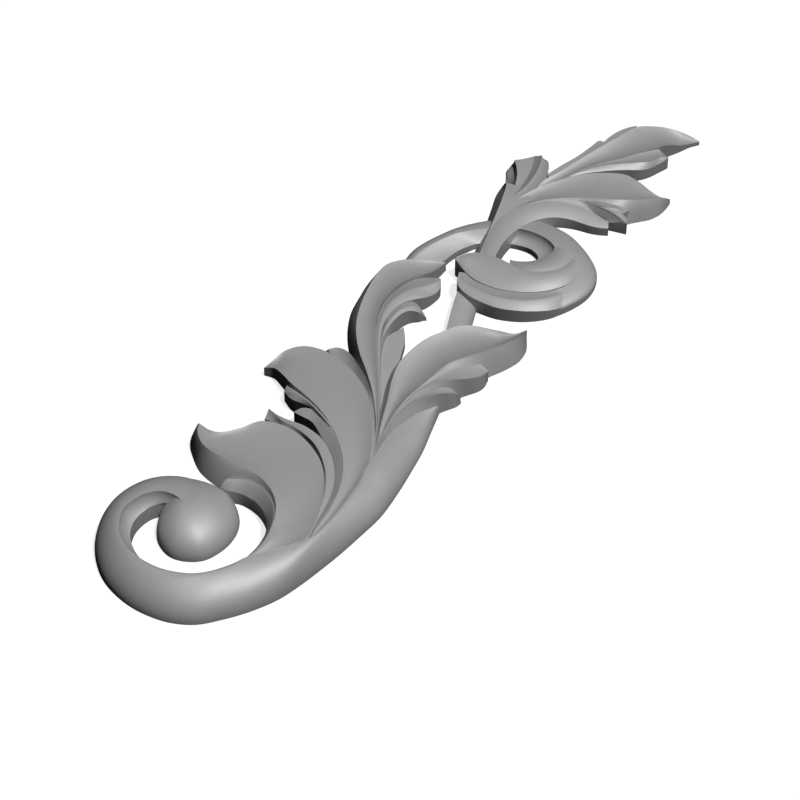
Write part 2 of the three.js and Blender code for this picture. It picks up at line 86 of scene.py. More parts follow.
@dataclass(frozen=True)
class Face:
    """A face between two carved lines.

    Attributes:
        turn: The shape of its section.
        bulge: How far its middle stands above a straight line, in millimetres, below zero for a hollow.
        steps: How many quads run across it.
        full_width: Narrower places are bulged in proportion to their width, in millimetres.
    """

    turn: Turn
    bulge: float = 0.0
    steps: int = 10
    full_width: float = 8.0

    def points(self, first: np.ndarray, second: np.ndarray) -> np.ndarray:
        """Works out the face's grid, without the column on its first line.

        With t from 0 to 1 across the face, a crowned face is the straight line between the two carved
        lines, plus bulge times 4 t (1 - t) in height. A round or a cove is a quarter of an ellipse: the
        plan moves by sin(90 t) while the height moves by 1 - cos(90 t), or the other way about, with the
        flat end at the top of a round and at the foot of a cove.

        Args:
            first: The places on the first line, one row each.
            second: The places beside them on the second line.

        Returns:
            An array of sections by steps by three coordinates, in millimetres.
        """
        t = (np.arange(1, self.steps + 1) / self.steps)[None, :, None]
        a, b = first[:, None, :], second[:, None, :]
        if self.turn is Turn.CROWNED:
            grid = a + (b - a) * t
            width = np.hypot(*(second - first)[:, :2].T)
            share = np.minimum(1.0, width / self.full_width)[:, None]
            grid[:, :, 2] += self.bulge * share * 4.0 * t[:, :, 0] * (1.0 - t[:, :, 0])
            return grid
        falls = a[:, :, 2:] > b[:, :, 2:]
        flat_first = falls if self.turn is Turn.ROUND else ~falls
        sine, versine = np.sin(t * math.pi / 2), 1.0 - np.cos(t * math.pi / 2)
        run = np.where(flat_first, sine, versine)
        rise = np.where(flat_first, versine, sine)
        grid = np.empty((len(first), self.steps, 3))
        grid[:, :, :2] = (a + (b - a) * run)[:, :, :2]
        grid[:, :, 2:] = a[:, :, 2:] + (b - a)[:, :, 2:] * rise
        return grid


ROUND = Face(Turn.ROUND, steps=14)
COVE = Face(Turn.COVE)
FLAT = Face(Turn.CROWNED, steps=4)


def crowned(bulge: float) -> Face:
    """Returns a face bulged by that many millimetres, or hollowed where it is below zero."""
    return Face(Turn.CROWNED, bulge)


def smooth_line(places: Rail, count: int) -> np.ndarray:
    """Draws a smooth line through a few places.

    It is a centripetal Catmull-Rom curve: each stretch is Neville's blend of its four nearest places,
    whose spacing is the square root of the distance between them. It is read at even distances.

    Args:
        places: Where the line passes, in millimetres.
        count: How many even parts it is cut into.

    Returns:
        An array of count + 1 places, none of them below the back.
    """
    knots = np.array(places, dtype=float)
    inner = np.linalg.norm(np.diff(knots, axis=0), axis=1)
    knots = knots[np.concatenate([[True], inner > SAME_PLACE])]
    knots = np.vstack([2 * knots[0] - knots[1], knots, 2 * knots[-1] - knots[-2]])
    gaps = np.sqrt(np.linalg.norm(np.diff(knots, axis=0), axis=1))
    when = np.concatenate([[0.0], np.cumsum(gaps)])

    def curve(moments: np.ndarray) -> np.ndarray:
        """Returns the curve at each moment along its knots."""
        span = np.clip(np.searchsorted(when, moments, side="right") - 1, 1, len(knots) - 3)
        p = [knots[span + k] for k in range(-1, 3)]
        s = [when[span + k][:, None] for k in range(-1, 3)]
        m = moments[:, None]
        for reach in (1, 2):
            p = [
                ((s[k + reach] - m) * p[k] + (m - s[k]) * p[k + 1]) / (s[k + reach] - s[k])
                for k in range(len(p) - 1)
            ]
        left, right = p
        return ((s[2] - m) * left + (m - s[1]) * right) / (s[2] - s[1])

    fine = np.linspace(when[1], when[-2], FINE_PARTS * len(knots))
    path = curve(fine)
    far = np.concatenate([[0.0], np.cumsum(np.linalg.norm(np.diff(path, axis=0), axis=1))])
    line = curve(np.interp(np.linspace(0.0, far[-1], count + 1), far, fine))
    line[:, 2] = np.maximum(line[:, 2], 0.0)
    return line


def length_of(places: Rail) -> float:
    """Returns the length of the straight runs between the places, in millimetres."""
    return float(np.linalg.norm(np.diff(np.array(places, dtype=float), axis=0), axis=1).sum())


def solid_over_back(name: str, grid: np.ndarray, closed: bool) -> bpy.types.Object:
    """Joins a grid of points to the flat back as one closed solid.

    Args:
        name: What the new object is called.
        grid: Sections by places by three coordinates, in millimetres.
        closed: Whether the last section runs on into the first.

    Returns:
        The object, linked to the scene, with its faces outwards.
    """
    sections, across, _ = grid.shape
    top = grid.reshape(-1, 3)
    base = len(top)
    corners = np.vstack([top, top * (1.0, 1.0, 0.0)]) * MM
    i = np.arange(sections if closed else sections - 1)[:, None]
    n = (i + 1) % sections
    j = np.arange(across - 1)[None, :]
    front = np.stack([i * across + j, i * across + j + 1, n * across + j + 1, n * across + j], axis=-1)
    front = front.reshape(-1, 4)
    i, n, far = i[:, 0] * across, n[:, 0] * across, across - 1
    quads = [
        front,
        front[:, ::-1] + base,
        np.stack([i, n, n + base, i + base], axis=-1),
        np.stack([i + far, i + far + base, n + far + base, n + far], axis=-1),
    ]
    if not closed:
        first, last = j[0], j[0] + (sections - 1) * across
        quads.append(np.stack([first, first + base, first + 1 + base, first + 1], axis=-1))
        quads.append(np.stack([last, last + 1, last + 1 + base, last + base], axis=-1))
    faces = np.vstack(quads).tolist()
    mesh = bpy.data.meshes.new(name)
    mesh.from_pydata(corners.tolist(), [], faces)
    tidy(mesh)
    piece = bpy.data.objects.new(name, mesh)
    bpy.context.scene.collection.objects.link(piece)
    return piece


def tidy(mesh: bpy.types.Mesh) -> None:
    """Merges doubled corners, drops empty faces and turns every face outwards."""
    work = bmesh.new()
    work.from_mesh(mesh)
    bmesh.ops.remove_doubles(work, verts=work.verts, dist=DOUBLED * MM)
    bmesh.ops.recalc_face_normals(work, faces=work.faces)
    if work.calc_volume(signed=True) < 0:
        bmesh.ops.reverse_faces(work, faces=work.faces)
    work.to_mesh(mesh)
    work.free()


def open_edges(mesh: bpy.types.Mesh) -> int:
    """Counts the edges that don't have exactly two faces, of which a closed mesh has none."""
    work = bmesh.new()
    work.from_mesh(mesh)
    count = sum(not edge.is_manifold for edge in work.edges)
    work.free()
    return count


@dataclass(frozen=True)
class Lobe:
    """One carved lobe, whose lines run side by side from its tip to its root.

    Attributes:
        name: What it is called.
        rails: Its carved lines, such as an edge, a fold or a crease, from one side to the other.
        faces: The faces between them.
    """

    name: str
    rails: Sequence[Rail]
    faces: Sequence[Face]

    def solid(self, step: float) -> bpy.types.Object:
        """Lofts the lobe with a section about every step millimetres."""
        count = max(FEWEST_SECTIONS, math.ceil(max(length_of(rail) for rail in self.rails) / step))
        lines = [smooth_line(rail, count) for rail in self.rails]
        columns = [lines[0][:, None, :]]
        columns += [face.points(a, b) for face, a, b in zip(self.faces, lines, lines[1:])]
        return solid_over_back(self.name, np.concatenate(columns, axis=1), closed=False)


@dataclass(frozen=True)
class Dome:
    """A quarter round swept all the way round a closed outline, up to its crown.

    Attributes:
        name: What it is called.
        outline: Its foot on the back.
        crown: Its highest point.
        side: Its section, from its foot to its crown.
    """

    name: str
    outline: Rail
    crown: Point
    side: Face = Face(Turn.ROUND, steps=24)

    def solid(self, step: float) -> bpy.types.Object:
        """Sweeps the dome with a section about every step millimetres."""
        wrapped = [*self.outline[-2:], *self.outline, *self.outline[:3]]
        count = math.ceil(length_of([*self.outline, self.outline[0]]) / step)
        line = smooth_line(wrapped, OUTLINE_PARTS * count)
        start = int(np.argmin(np.linalg.norm(line[: len(line) // 2] - self.outline[0], axis=1)))
        rest = line[start + count :]
        end = start + count + int(np.argmin(np.linalg.norm(rest - self.outline[0], axis=1)))
        ring = line[start:end:OUTLINE_PARTS]
        top = np.broadcast_to(np.array(self.crown), ring.shape)
        grid = np.concatenate([ring[:, None, :], self.side.points(ring, top)], axis=1)
        return solid_over_back(self.name, grid, closed=True)


@dataclass
class Group:
    """A part of the carving.

    Attributes:
        step: The spacing of the sections along a lobe, in millimetres.
        lobes: Its lobes, each a closed solid that runs into its neighbours.
    """

    step: float = 1.5
    lobes: Sequence[Lobe | Dome] = ()

    def solids(self) -> list[bpy.types.Object]:
        """Builds the lobes of this part of the carving."""
        made = [lobe.solid(self.step) for lobe in self.lobes]
        LOG.info("%s: %d lobes", type(self).__name__, len(made))
        return made


@dataclass
class Volute(Group):
    """The stem and the ring that it curls into, with the ball in its eye."""

    lobes: Sequence[Lobe | Dome] = (
        Lobe("ring", [
            [(26.5, -6.1, 0), (18.7, -9.3, 0), (8.6, -13.5, 0), (-1, -16.5, 0), (-11.1, -19.4, 0),
             (-24.8, -22.4, 0), (-36.6, -22.9, 0), (-47.4, -23, 0), (-57.3, -22.6, 0), (-66.8, -21.9, 0),
             (-76.3, -20.4, 0), (-86.3, -16.7, 0), (-95, -11.9, 0), (-102.4, -6.5, 0), (-107.2, 0.6, 0),
             (-109.5, 7.5, 0), (-110.6, 15.7, 0), (-109.7, 25, 0), (-107.2, 32.6, 0), (-101.6, 40.9, 0),
             (-95.4, 46.4, 0), (-86.3, 50.9, 0), (-76.7, 52, 0), (-66.3, 49.3, 0), (-58.2, 42.6, 0),
             (-53.9, 34.6, 0)],
            [(26.3, -5.8, 4.5), (18.4, -3.1, 5.3), (8.5, -3, 6.4), (-2.8, -5.2, 8.1), (-9.9, -7, 8.9),
             (-15.3, -8.4, 9.1), (-23.5, -11.8, 9.4), (-31.9, -14, 9.7), (-45, -16.7, 10.3),
             (-55.1, -16.9, 10.8), (-64.4, -13.4, 11.2), (-75.3, -7.3, 11.5), (-82.6, -4.9, 11.5),
             (-91.7, 0.4, 11.5), (-95, 4.3, 11.5), (-98.1, 10.5, 11.5), (-99.9, 15.7, 11.5),
             (-99.5, 21.6, 11.5), (-98.4, 28.7, 11.5), (-93.7, 36, 11.5), (-86.2, 40.8, 11.5),
             (-78.6, 40.5, 11.5), (-72.9, 37.4, 11.5), (-70.6, 32, 11.5), (-71.3, 26.7, 11.5)],
            [(26.4, -5.2, 4), (18.5, -2.5, 4.8), (9, -2.1, 5.9), (-2.3, -4.3, 7.6), (-9.6, -6.3, 8.7),
             (-15, -7.7, 8.9), (-23.2, -11.1, 9.2), (-31.7, -13.3, 9.5), (-44.8, -16, 10.1),
             (-54.8, -16.2, 10.6), (-64.2, -12.8, 11), (-75, -6.6, 11.3), (-82.2, -4, 11), (-91.1, 1, 11),
             (-94.3, 4.9, 11), (-97.5, 11.1, 11), (-99, 15.7, 11), (-98.4, 21, 9.5), (-94.3, 29.5, 7),
             (-90.2, 34.6, 6.5), (-84.7, 37.5, 6.5), (-78.3, 37.9, 6.5), (-74.6, 36.7, 6.5),
             (-71.9, 34.5, 6.8), (-70.3, 32.2, 7.4)],
        ], [ROUND, COVE]),
        Dome("ball",
            [(-53.8, 34.7, 0), (-52.5, 30.2, 0), (-52.1, 24.9, 0), (-53.5, 19.9, 0), (-57.3, 14.2, 0),
             (-61.9, 10.9, 0), (-66.7, 9.3, 0), (-72.1, 9, 0), (-78.9, 10.6, 0), (-83.2, 14.6, 0),
             (-85.6, 20.7, 0), (-83.9, 27.7, 0), (-80, 32.4, 0), (-74.3, 35.8, 0), (-69.1, 37.1, 0),
             (-65.2, 39.1, 0), (-61.7, 41.6, 0), (-58.4, 42.1, 0), (-55.8, 39, 0)],
             (-71.3, 26.7, 11.5)),
    )


@dataclass
class RingLeaf(Group):
    """The leaf beside the ring, rolled under on its left, with its tongue and its back lobe."""

    lobes: Sequence[Lobe | Dome] = (
        Lobe("L1", [
            [(-36.6, 55, 0), (-39.5, 53.8, 0), (-42.6, 51.3, 0), (-45.6, 47.3, 0), (-49.2, 40.9, 0),
             (-50.5, 34.9, 0), (-50.7, 29.5, 0), (-50, 25.4, 0), (-48.2, 21, 0), (-47.5, 16.4, 0),
             (-47.7, 11.5, 0), (-50, 6.2, 0), (-53.3, 2.1, 0), (-59.3, -1.6, 0), (-64.5, -2.6, 0),
             (-70.8, -3.7, 0), (-75.9, -4.6, 0)],
            [(-37.4, 51.2, 8.2), (-41.2, 48.4, 9), (-44.9, 42.8, 9.5), (-45.8, 38.1, 9.8),
             (-45.5, 30.9, 10.1), (-44.6, 22.3, 10.4), (-44.9, 15.4, 10.8), (-46.8, 9.1, 11),
             (-50.3, 3.5, 11.2), (-54.5, -0.3, 11.2), (-60.6, -3.7, 11.2), (-66.2, -5.9, 11.3),
             (-71.7, -6.8, 11.3), (-77.5, -6.6, 11.4)],
            [(-37.4, 51.3, 8.1), (-39.9, 47.5, 8.1), (-41.9, 42.8, 8.2), (-42.7, 37.7, 8.4), (-42, 30.8, 8.7),
             (-40.8, 22.9, 9.2), (-40.8, 15.9, 9.6), (-43.2, 9.1, 10.1), (-47.4, 3.3, 10.5),
             (-53, -1.4, 10.8), (-59.4, -4.9, 11), (-65.6, -7.2, 11.3), (-71.4, -7.4, 11.3),
             (-77.2, -6.8, 11.4)],
            [(-37.4, 51.3, 8.1), (-37.7, 45.7, 8.5), (-36.3, 42.2, 8.7), (-30.4, 38, 8.9), (-23.3, 34.9, 8.9),
             (-19.9, 28.5, 8.9), (-19.5, 19.4, 9), (-23.3, 7.7, 9.2), (-29, 0, 9.4), (-36.1, -5.3, 9.6),
             (-44, -10.4, 10.1), (-53, -14.4, 10.6), (-62.5, -16.2, 11)],
        ], [crowned(1.8), FLAT, crowned(-0.6)]),
        Lobe("T1", [
            [(-54.2, 26, 5.6), (-54, 23.8, 5.8), (-53, 21.4, 5.9), (-51.9, 18.7, 5.9), (-51.5, 15.8, 6),
             (-52, 10.3, 5.9), (-54.4, 4.8, 5.6), (-57, 1.9, 5.8), (-60.2, -0.6, 6.2), (-64.3, -2.4, 6.8),
             (-68.5, -3.8, 7.8), (-72.8, -4.9, 9.2), (-77.4, -6, 10.6)],
            [(-53.6, 25.5, 7.2), (-51.9, 25.1, 8.6), (-50, 22.6, 9), (-48.3, 19.5, 9.4), (-47.8, 17, 9.7),
             (-47.7, 14.8, 9.9), (-48.3, 11.5, 10.2), (-49.2, 8.4, 10.5), (-50.6, 5.3, 10.7),
             (-52.9, 2.1, 10.8), (-56.1, -0.8, 10.9), (-60.1, -3.2, 10.9), (-65.3, -5.4, 11),
             (-71.4, -6.5, 11.2), (-77.5, -6.3, 11.4)],
            [(-49.6, 27.3, 6), (-48.1, 26.3, 6), (-46, 24.1, 6), (-44.3, 20.9, 6), (-43.7, 17.7, 6),
             (-43.9, 13.8, 6), (-44.9, 10.1, 6), (-47.4, 5.1, 6.2), (-51.5, 0, 7), (-57.9, -3.9, 8),
             (-65.3, -6.4, 9), (-72.3, -7.3, 10), (-77.2, -7.2, 10.6)],
        ], [crowned(0.9), FLAT]),
        Lobe("L1b", [
            [(-18.7, 37, 5), (-17.8, 31.9, 5), (-18.4, 26.6, 4.6), (-17.5, 21.3, 4.2), (-18.1, 15.7, 3.8),
             (-21.1, 9.3, 4.4), (-27.3, 2, 6.2), (-35.5, -4.3, 8), (-44.6, -9.5, 9), (-53.3, -13.6, 10),
             (-61.1, -16.3, 10.4)],
            [(-15.4, 37.8, 7.2), (-17.1, 30.5, 7.4), (-16.6, 25.3, 7.4), (-17.4, 17.7, 7.6),
             (-19.1, 12.3, 7.8), (-22.6, 6.4, 8), (-27.9, 0.1, 8.4), (-34.9, -5.6, 8.9), (-43.7, -10.5, 9.4),
             (-52.3, -14.4, 10.2), (-60.2, -16.9, 10.5)],
            [(-15.4, 37.8, 7.2), (-15.6, 34.2, 6.9), (-14.7, 28.9, 6.6), (-13.4, 24.1, 6.5),
             (-13.3, 19.3, 6.5), (-14.2, 13.9, 6.6), (-17.4, 7.3, 6.8), (-23.4, 0.1, 7.3), (-31.5, -6.3, 8.1),
             (-40, -10.5, 8.9), (-49.8, -14.1, 9.9), (-58.6, -17.3, 10.5)],
        ], [crowned(-0.2), crowned(-0.2)]),
    )


@dataclass
class SecondLeaf(Group):
    """The tall leaf beyond it, with two lobes stepping down on its left and one behind."""

    lobes: Sequence[Lobe | Dome] = (
        Lobe("L2b", [
            [(-9.6, 31.2, 5.2), (-9.8, 27.4, 5.8), (-9.9, 22.3, 6.2), (-13.7, 14.3, 6.4), (-17, 7.7, 6.7),
             (-23.2, 0.4, 7.2), (-31.6, -6, 8), (-39.8, -9.9, 8.8), (-49.6, -13.4, 9.8), (-57.1, -16, 10.3)],
            [(-9.6, 31.2, 5.2), (-7.1, 29.8, 6.2), (-5.8, 25.9, 7.2), (-6.3, 21.1, 8.2), (-8.1, 16, 9.1),
             (-12.7, 7.9, 9.2), (-17.6, 1.6, 9.2), (-23.7, -4, 9.3), (-31.7, -9.1, 9.7), (-40.9, -12.7, 10.1),
             (-51.7, -15.7, 10.6), (-56.6, -16.9, 10.6)],
        ], [crowned(0.2)]),
        Lobe("L2a", [
            [(-3.9, 40.9, 5), (-5.8, 35.8, 5.9), (-5.6, 31, 6.8), (-5.7, 26.4, 7.6), (-7.8, 19.4, 8.4),
             (-9.5, 14.6, 9.1)],
            [(-3.9, 40.9, 5), (-4, 37, 7), (-4.4, 31.8, 8.1), (-5.8, 25.4, 8.8), (-7.9, 18.8, 9.2),
             (-9.7, 14, 9.4)],
            [(-3.9, 40.9, 5), (-0.3, 41.9, 5.4), (-0.8, 35.3, 6.4), (-3.2, 27.2, 7.4), (-6.1, 19, 8.4),
             (-8.5, 14.5, 9.2)],
        ], [crowned(0.3), crowned(-0.2)]),
        Lobe("L2", [
            [(1.3, 55.3, 3.8), (2.3, 51.2, 5.6), (1, 46.6, 7), (-1.3, 39.8, 8), (-2.8, 32.7, 8.6),
             (-4.8, 24.3, 9), (-8, 16.1, 9.2), (-12.7, 7.8, 9.3), (-17.6, 1.5, 9.3), (-23.7, -4.1, 9.4),
             (-31.8, -9.1, 9.8), (-41, -12.7, 10.2), (-50.8, -15.4, 10.7), (-55, -16.9, 10.8)],
            [(1.3, 55.3, 3.8), (4.7, 54.3, 5.4), (10.6, 53.2, 7), (15.4, 49.2, 8.2), (18, 42.8, 8.8),
             (17.9, 33.1, 9.3), (15.6, 23.6, 9.5), (11.5, 14.9, 9.6), (4.9, 7.4, 9.4), (-4.5, -1.1, 9.2),
             (-13.6, -7.4, 9), (-23.1, -11.4, 9.3), (-35.4, -14.2, 9.7), (-43.6, -15.9, 10.1),
             (-51.9, -16.8, 10.6), (-55.1, -17.4, 10.7)],
        ], [crowned(-1)]),
        Lobe("L2d", [
            [(21, 42.6, 5.4), (21, 37.6, 5.2), (20.2, 33, 5.2), (18.6, 26.6, 5.6), (16.4, 21.9, 6.2),
             (13.6, 16.9, 7.2), (7, 9.6, 8.4), (-3.8, 0.3, 8.8), (-13.6, -6.9, 8.8)],
            [(20.4, 42.3, 6.4), (22, 41.4, 6.9), (23.7, 39.9, 7.2), (24.4, 37.6, 7.5), (24.2, 34.4, 7.7),
             (22.5, 30, 8), (20.8, 26.6, 8.2), (19.2, 23.4, 8.4), (17.4, 20.1, 8.6), (14.3, 15.9, 8.8),
             (10.3, 11, 9), (3.7, 4.6, 9.1), (-4.3, -2.5, 9), (-12.3, -8.6, 8.8)],
        ], [crowned(-0.3)]),
    )


@dataclass
class UprightLeaf(Group):
    """The upright leaf and its two lower right-hand lobes."""

    lobes: Sequence[Lobe | Dome] = (
        Lobe("A", [
            [(87, 40.3, 0), (84.2, 43.4, 0), (81.8, 46.8, 0), (79, 50.8, 0), (75, 55.3, 0), (69.6, 58.1, 0),
             (63.3, 58.2, 0), (54.7, 55.7, 0), (46.6, 52.7, 0), (38.8, 47.7, 0), (32.5, 42.1, 0),
             (26.9, 35.7, 0), (21.9, 28.7, 0), (17.5, 22, 0), (11.3, 14.3, 0), (1.3, 4.4, 0),
             (-9.2, -4.5, 0)],
            [(87.1, 40.4, 4.2), (84.1, 43.3, 5.2), (81.4, 46.5, 5.8), (78.4, 50.3, 6.2), (74.2, 53.5, 6.5),
             (69.6, 55.2, 6.6), (63.5, 54.4, 6.7), (56.2, 52, 7), (47.3, 48.1, 7.4), (38.9, 43.2, 7.8),
             (32.9, 38.3, 8.1), (26.3, 31.1, 8.4), (20.6, 23.1, 8.6), (14.7, 15.5, 8.8), (8.8, 9.1, 8.9),
             (1.4, 2.1, 9), (-10.4, -7.1, 8.8)],
            [(87.2, 40.5, 4.1), (83.2, 40, 4.9), (78.5, 40.1, 5.7), (74.3, 41.8, 6.3), (70, 43.4, 6.8),
             (64.8, 44.3, 7.2), (57, 43.5, 7.7), (50.7, 41.6, 8), (44.1, 37.9, 8.3), (36.7, 32.3, 8.5),
             (26.8, 23.4, 8.8), (15.3, 13, 8.9), (5.9, 5.3, 9), (-2.2, -1.2, 9), (-10.3, -7.2, 8.8)],
        ], [crowned(0.8), crowned(-0.8)]),
        Lobe("A2", [
            [(78.2, 35.8, 5.2), (76.5, 38.5, 5), (74.7, 40.9, 5), (70.8, 42.8, 5.4), (65.5, 43.6, 5.9),
             (59.2, 43.4, 6.4), (52.9, 42, 7), (47.2, 39.6, 7.5), (41.4, 35.9, 7.9), (32.9, 29.4, 8.1),
             (22.9, 20.5, 8.5), (13.3, 11.8, 8.7), (3.7, 3.4, 8.9), (-10.4, -7.1, 8.8)],
            [(77.4, 34.9, 5.2), (74, 35.4, 6), (69.4, 36.5, 6.8), (65, 38.7, 7.4), (60, 39.8, 7.8),
             (54.2, 39.7, 8), (48.3, 38, 8.2), (41.3, 34.3, 8.4), (33.2, 28.2, 8.6), (23.3, 19.4, 8.9),
             (13.6, 11, 9), (3.8, 3.2, 9), (-10.4, -7.1, 8.8)],
            [(77.5, 35, 5), (74.4, 32.9, 4.4), (71, 32.5, 4.4), (65.4, 33.1, 6), (62.6, 34.6, 6.6),
             (58.5, 36.3, 7.1), (54.4, 36.8, 7.4), (49, 36.2, 7.7), (43.8, 34.3, 7.9), (38.7, 31.3, 8.1),
             (32.7, 26.6, 8.4), (23.7, 19.2, 8.7), (13.9, 10.9, 8.8), (4, 3.1, 8.9), (-10.4, -7.1, 8.8)],
        ], [crowned(0.1), crowned(0.3)]),
        Lobe("A3", [
            [(61.3, 28.6, 1.4), (61.1, 30.1, 3.4), (61.5, 31.8, 4.8), (61.7, 34.5, 5.4), (59.7, 36.1, 6),
             (56.3, 37.1, 6.5), (50.4, 36.7, 7), (44.7, 34.5, 7.4), (38.2, 31, 7.7), (32.9, 27.1, 8),
             (23.7, 19.6, 8.4), (13.8, 11.3, 8.6), (3.8, 3.4, 8.8), (-10.4, -7.1, 8.8)],
            [(61.2, 28.5, 1.4), (61.3, 30.7, 4), (59.7, 32.2, 6), (57.3, 33.9, 7), (53.7, 34.7, 7.6),
             (49, 34.3, 7.9), (43.6, 32.9, 8.1), (38.1, 30.2, 8.3), (32.8, 26.4, 8.5), (23.8, 19, 8.8),
             (13.9, 10.8, 8.9), (4, 3, 9), (-10.4, -7.1, 8.8)],
            [(61.3, 28.6, 1.2), (60.5, 29.5, 3), (58.9, 30.2, 5), (56.6, 32.2, 6.4), (53.8, 33.1, 7),
             (49.3, 33.1, 7.3), (44.1, 32, 7.6), (38.7, 30, 7.9), (33.2, 26.5, 8.2), (24, 19, 8.6),
             (14.2, 10.8, 8.7), (4.2, 3.1, 8.8), (-10.4, -7.1, 8.8)],
        ], [crowned(0.1), crowned(0.2)]),
    )


@dataclass
class RightLeaf(Group):
    """The right-hand leaf, rolled under at its tip, with its two lower lobes."""

    lobes: Sequence[Lobe | Dome] = (
        Lobe("B3", [
            [(35.4, -8, 4.4), (34.8, -5.2, 6.2), (32.4, -3, 7.4), (27.3, -1.2, 8.1), (21.1, 0.1, 8.5),
             (14.4, 0.6, 8.8), (6.4, -0.6, 9), (-0.6, -2.4, 9), (-10.4, -7.1, 8.8)],
            [(35.4, -8.5, 4.6), (33.1, -7.1, 6.6), (30.4, -6, 7.9), (27.4, -4.4, 8.8), (24.6, -3.2, 9.2),
             (20.9, -1.9, 9.4), (17.1, -0.8, 9.4), (8.1, -0.8, 9.4), (-0.6, -2.4, 9.3), (-10.4, -7.1, 8.8)],
            [(36.1, -8.5, 0), (33.6, -8.4, 0), (27.7, -6, 0), (19.8, -5.2, 0), (11.4, -5.2, 0),
             (2.5, -6.2, 0), (-9.8, -8.3, 0)],
        ], [crowned(-0.2), crowned(0.7)]),
        Lobe("B2", [
            [(51.3, -8.7, 4.8), (51.7, -6.1, 5.4), (51.3, -2.5, 6.2), (48.4, 1.2, 7.2), (42.6, 3, 8),
             (33.8, 3.3, 8.6), (24.2, 2.8, 8.9), (15.1, 1.2, 9.1), (6.5, -0.5, 9.1), (-10.4, -7.1, 8.8)],
            [(51.2, -8.8, 4.8), (46.2, -9, 6.3), (42.1, -7.6, 7.5), (38.5, -5.4, 8.4), (35.2, -3.2, 8.9),
             (29.6, -0.2, 9.2), (22.6, 1.4, 9.3), (14.6, 0.7, 9.4), (5.9, -1, 9.3), (-10.4, -7.1, 8.8)],
            [(51.5, -8.5, 0), (48.1, -9.8, 0), (45.2, -9.7, 0), (41.6, -8.2, 0), (38.3, -6.7, 0),
             (33.3, -5.6, 0), (27.8, -4.6, 0), (20.7, -3.9, 0), (12.5, -4.3, 0), (-9.8, -8.3, 0)],
        ], [crowned(-0.5), crowned(1)]),
        Lobe("B1", [
            [(74.1, -8.3, 8.6), (70, -6, 8.4), (67.4, -1.1, 8.6), (65.1, 3.6, 8.9), (62.9, 7.9, 9.1),
             (59, 11.8, 9.3), (53.6, 14, 9.4), (46.7, 16.3, 9.5), (38.8, 16.8, 9.5), (32, 16.2, 9.4),
             (25.8, 14.1, 9.3), (19.7, 10.9, 9.2), (12.8, 6.7, 9.1), (5.5, 2.6, 9.1), (-10.4, -7.1, 8.8)],
            [(74, -8.5, 8.8), (68.8, -7.9, 9.2), (62.9, -6.6, 9.5), (57.7, -4.9, 9.7), (52.8, -2.6, 9.8),
             (48, -0.3, 9.8), (41.7, 2.1, 9.8), (35.8, 2.3, 9.8), (26.9, 2.4, 9.6), (17.7, 2.2, 9.5),
             (7.3, 0.1, 9.3), (-10.4, -7.1, 8.8)],
            [(73.9, -8.5, 7.6), (68.7, -8, 8.3), (62.7, -6.7, 8.8), (57.5, -5.1, 9.1), (52.6, -2.7, 9.2),
             (47.8, -0.4, 9.2), (41.5, 1.9, 9.2), (35.7, 2.1, 9.2), (26.7, 2.3, 9.1), (17.4, 2, 9.1),
             (6.8, -0.2, 9.1), (-10.4, -7.1, 8.8)],
            [(74.3, -8.5, 0), (72, -9.9, 0), (66.2, -11.2, 0), (59, -9.9, 0), (52.5, -7.7, 0),
             (45.8, -6.2, 0), (38.3, -5.3, 0), (31.8, -4.6, 0), (25.9, -3.8, 0), (18.6, -3.8, 0),
             (11.9, -4.3, 0), (-9.8, -8.3, 0)],
        ], [crowned(-1.8), FLAT, crowned(1)]),
        Lobe("B_left", [
            [(36.1, 20.2, 3.6), (29.9, 19.3, 3), (21, 15.5, 3), (11.5, 9.5, 4), (2.4, 2.6, 6.4),
             (-10.4, -7.1, 8.8)],
            [(32.1, 16.3, 9.3), (25.9, 14.2, 9.2), (19.8, 10.9, 9.1), (12.9, 6.7, 9), (5.6, 2.6, 9),
             (-1.5, -1.3, 9), (-10.4, -7.1, 8.8)],
            [(39.2, 17.1, 5.5), (31.4, 14.3, 5.5), (25, 10.8, 5.5), (17.8, 6.7, 5.5), (10.1, 2.6, 5.5),
             (2.3, -1.3, 6), (-10.4, -7.1, 8.8)],
        ], [FLAT, FLAT]),
    )


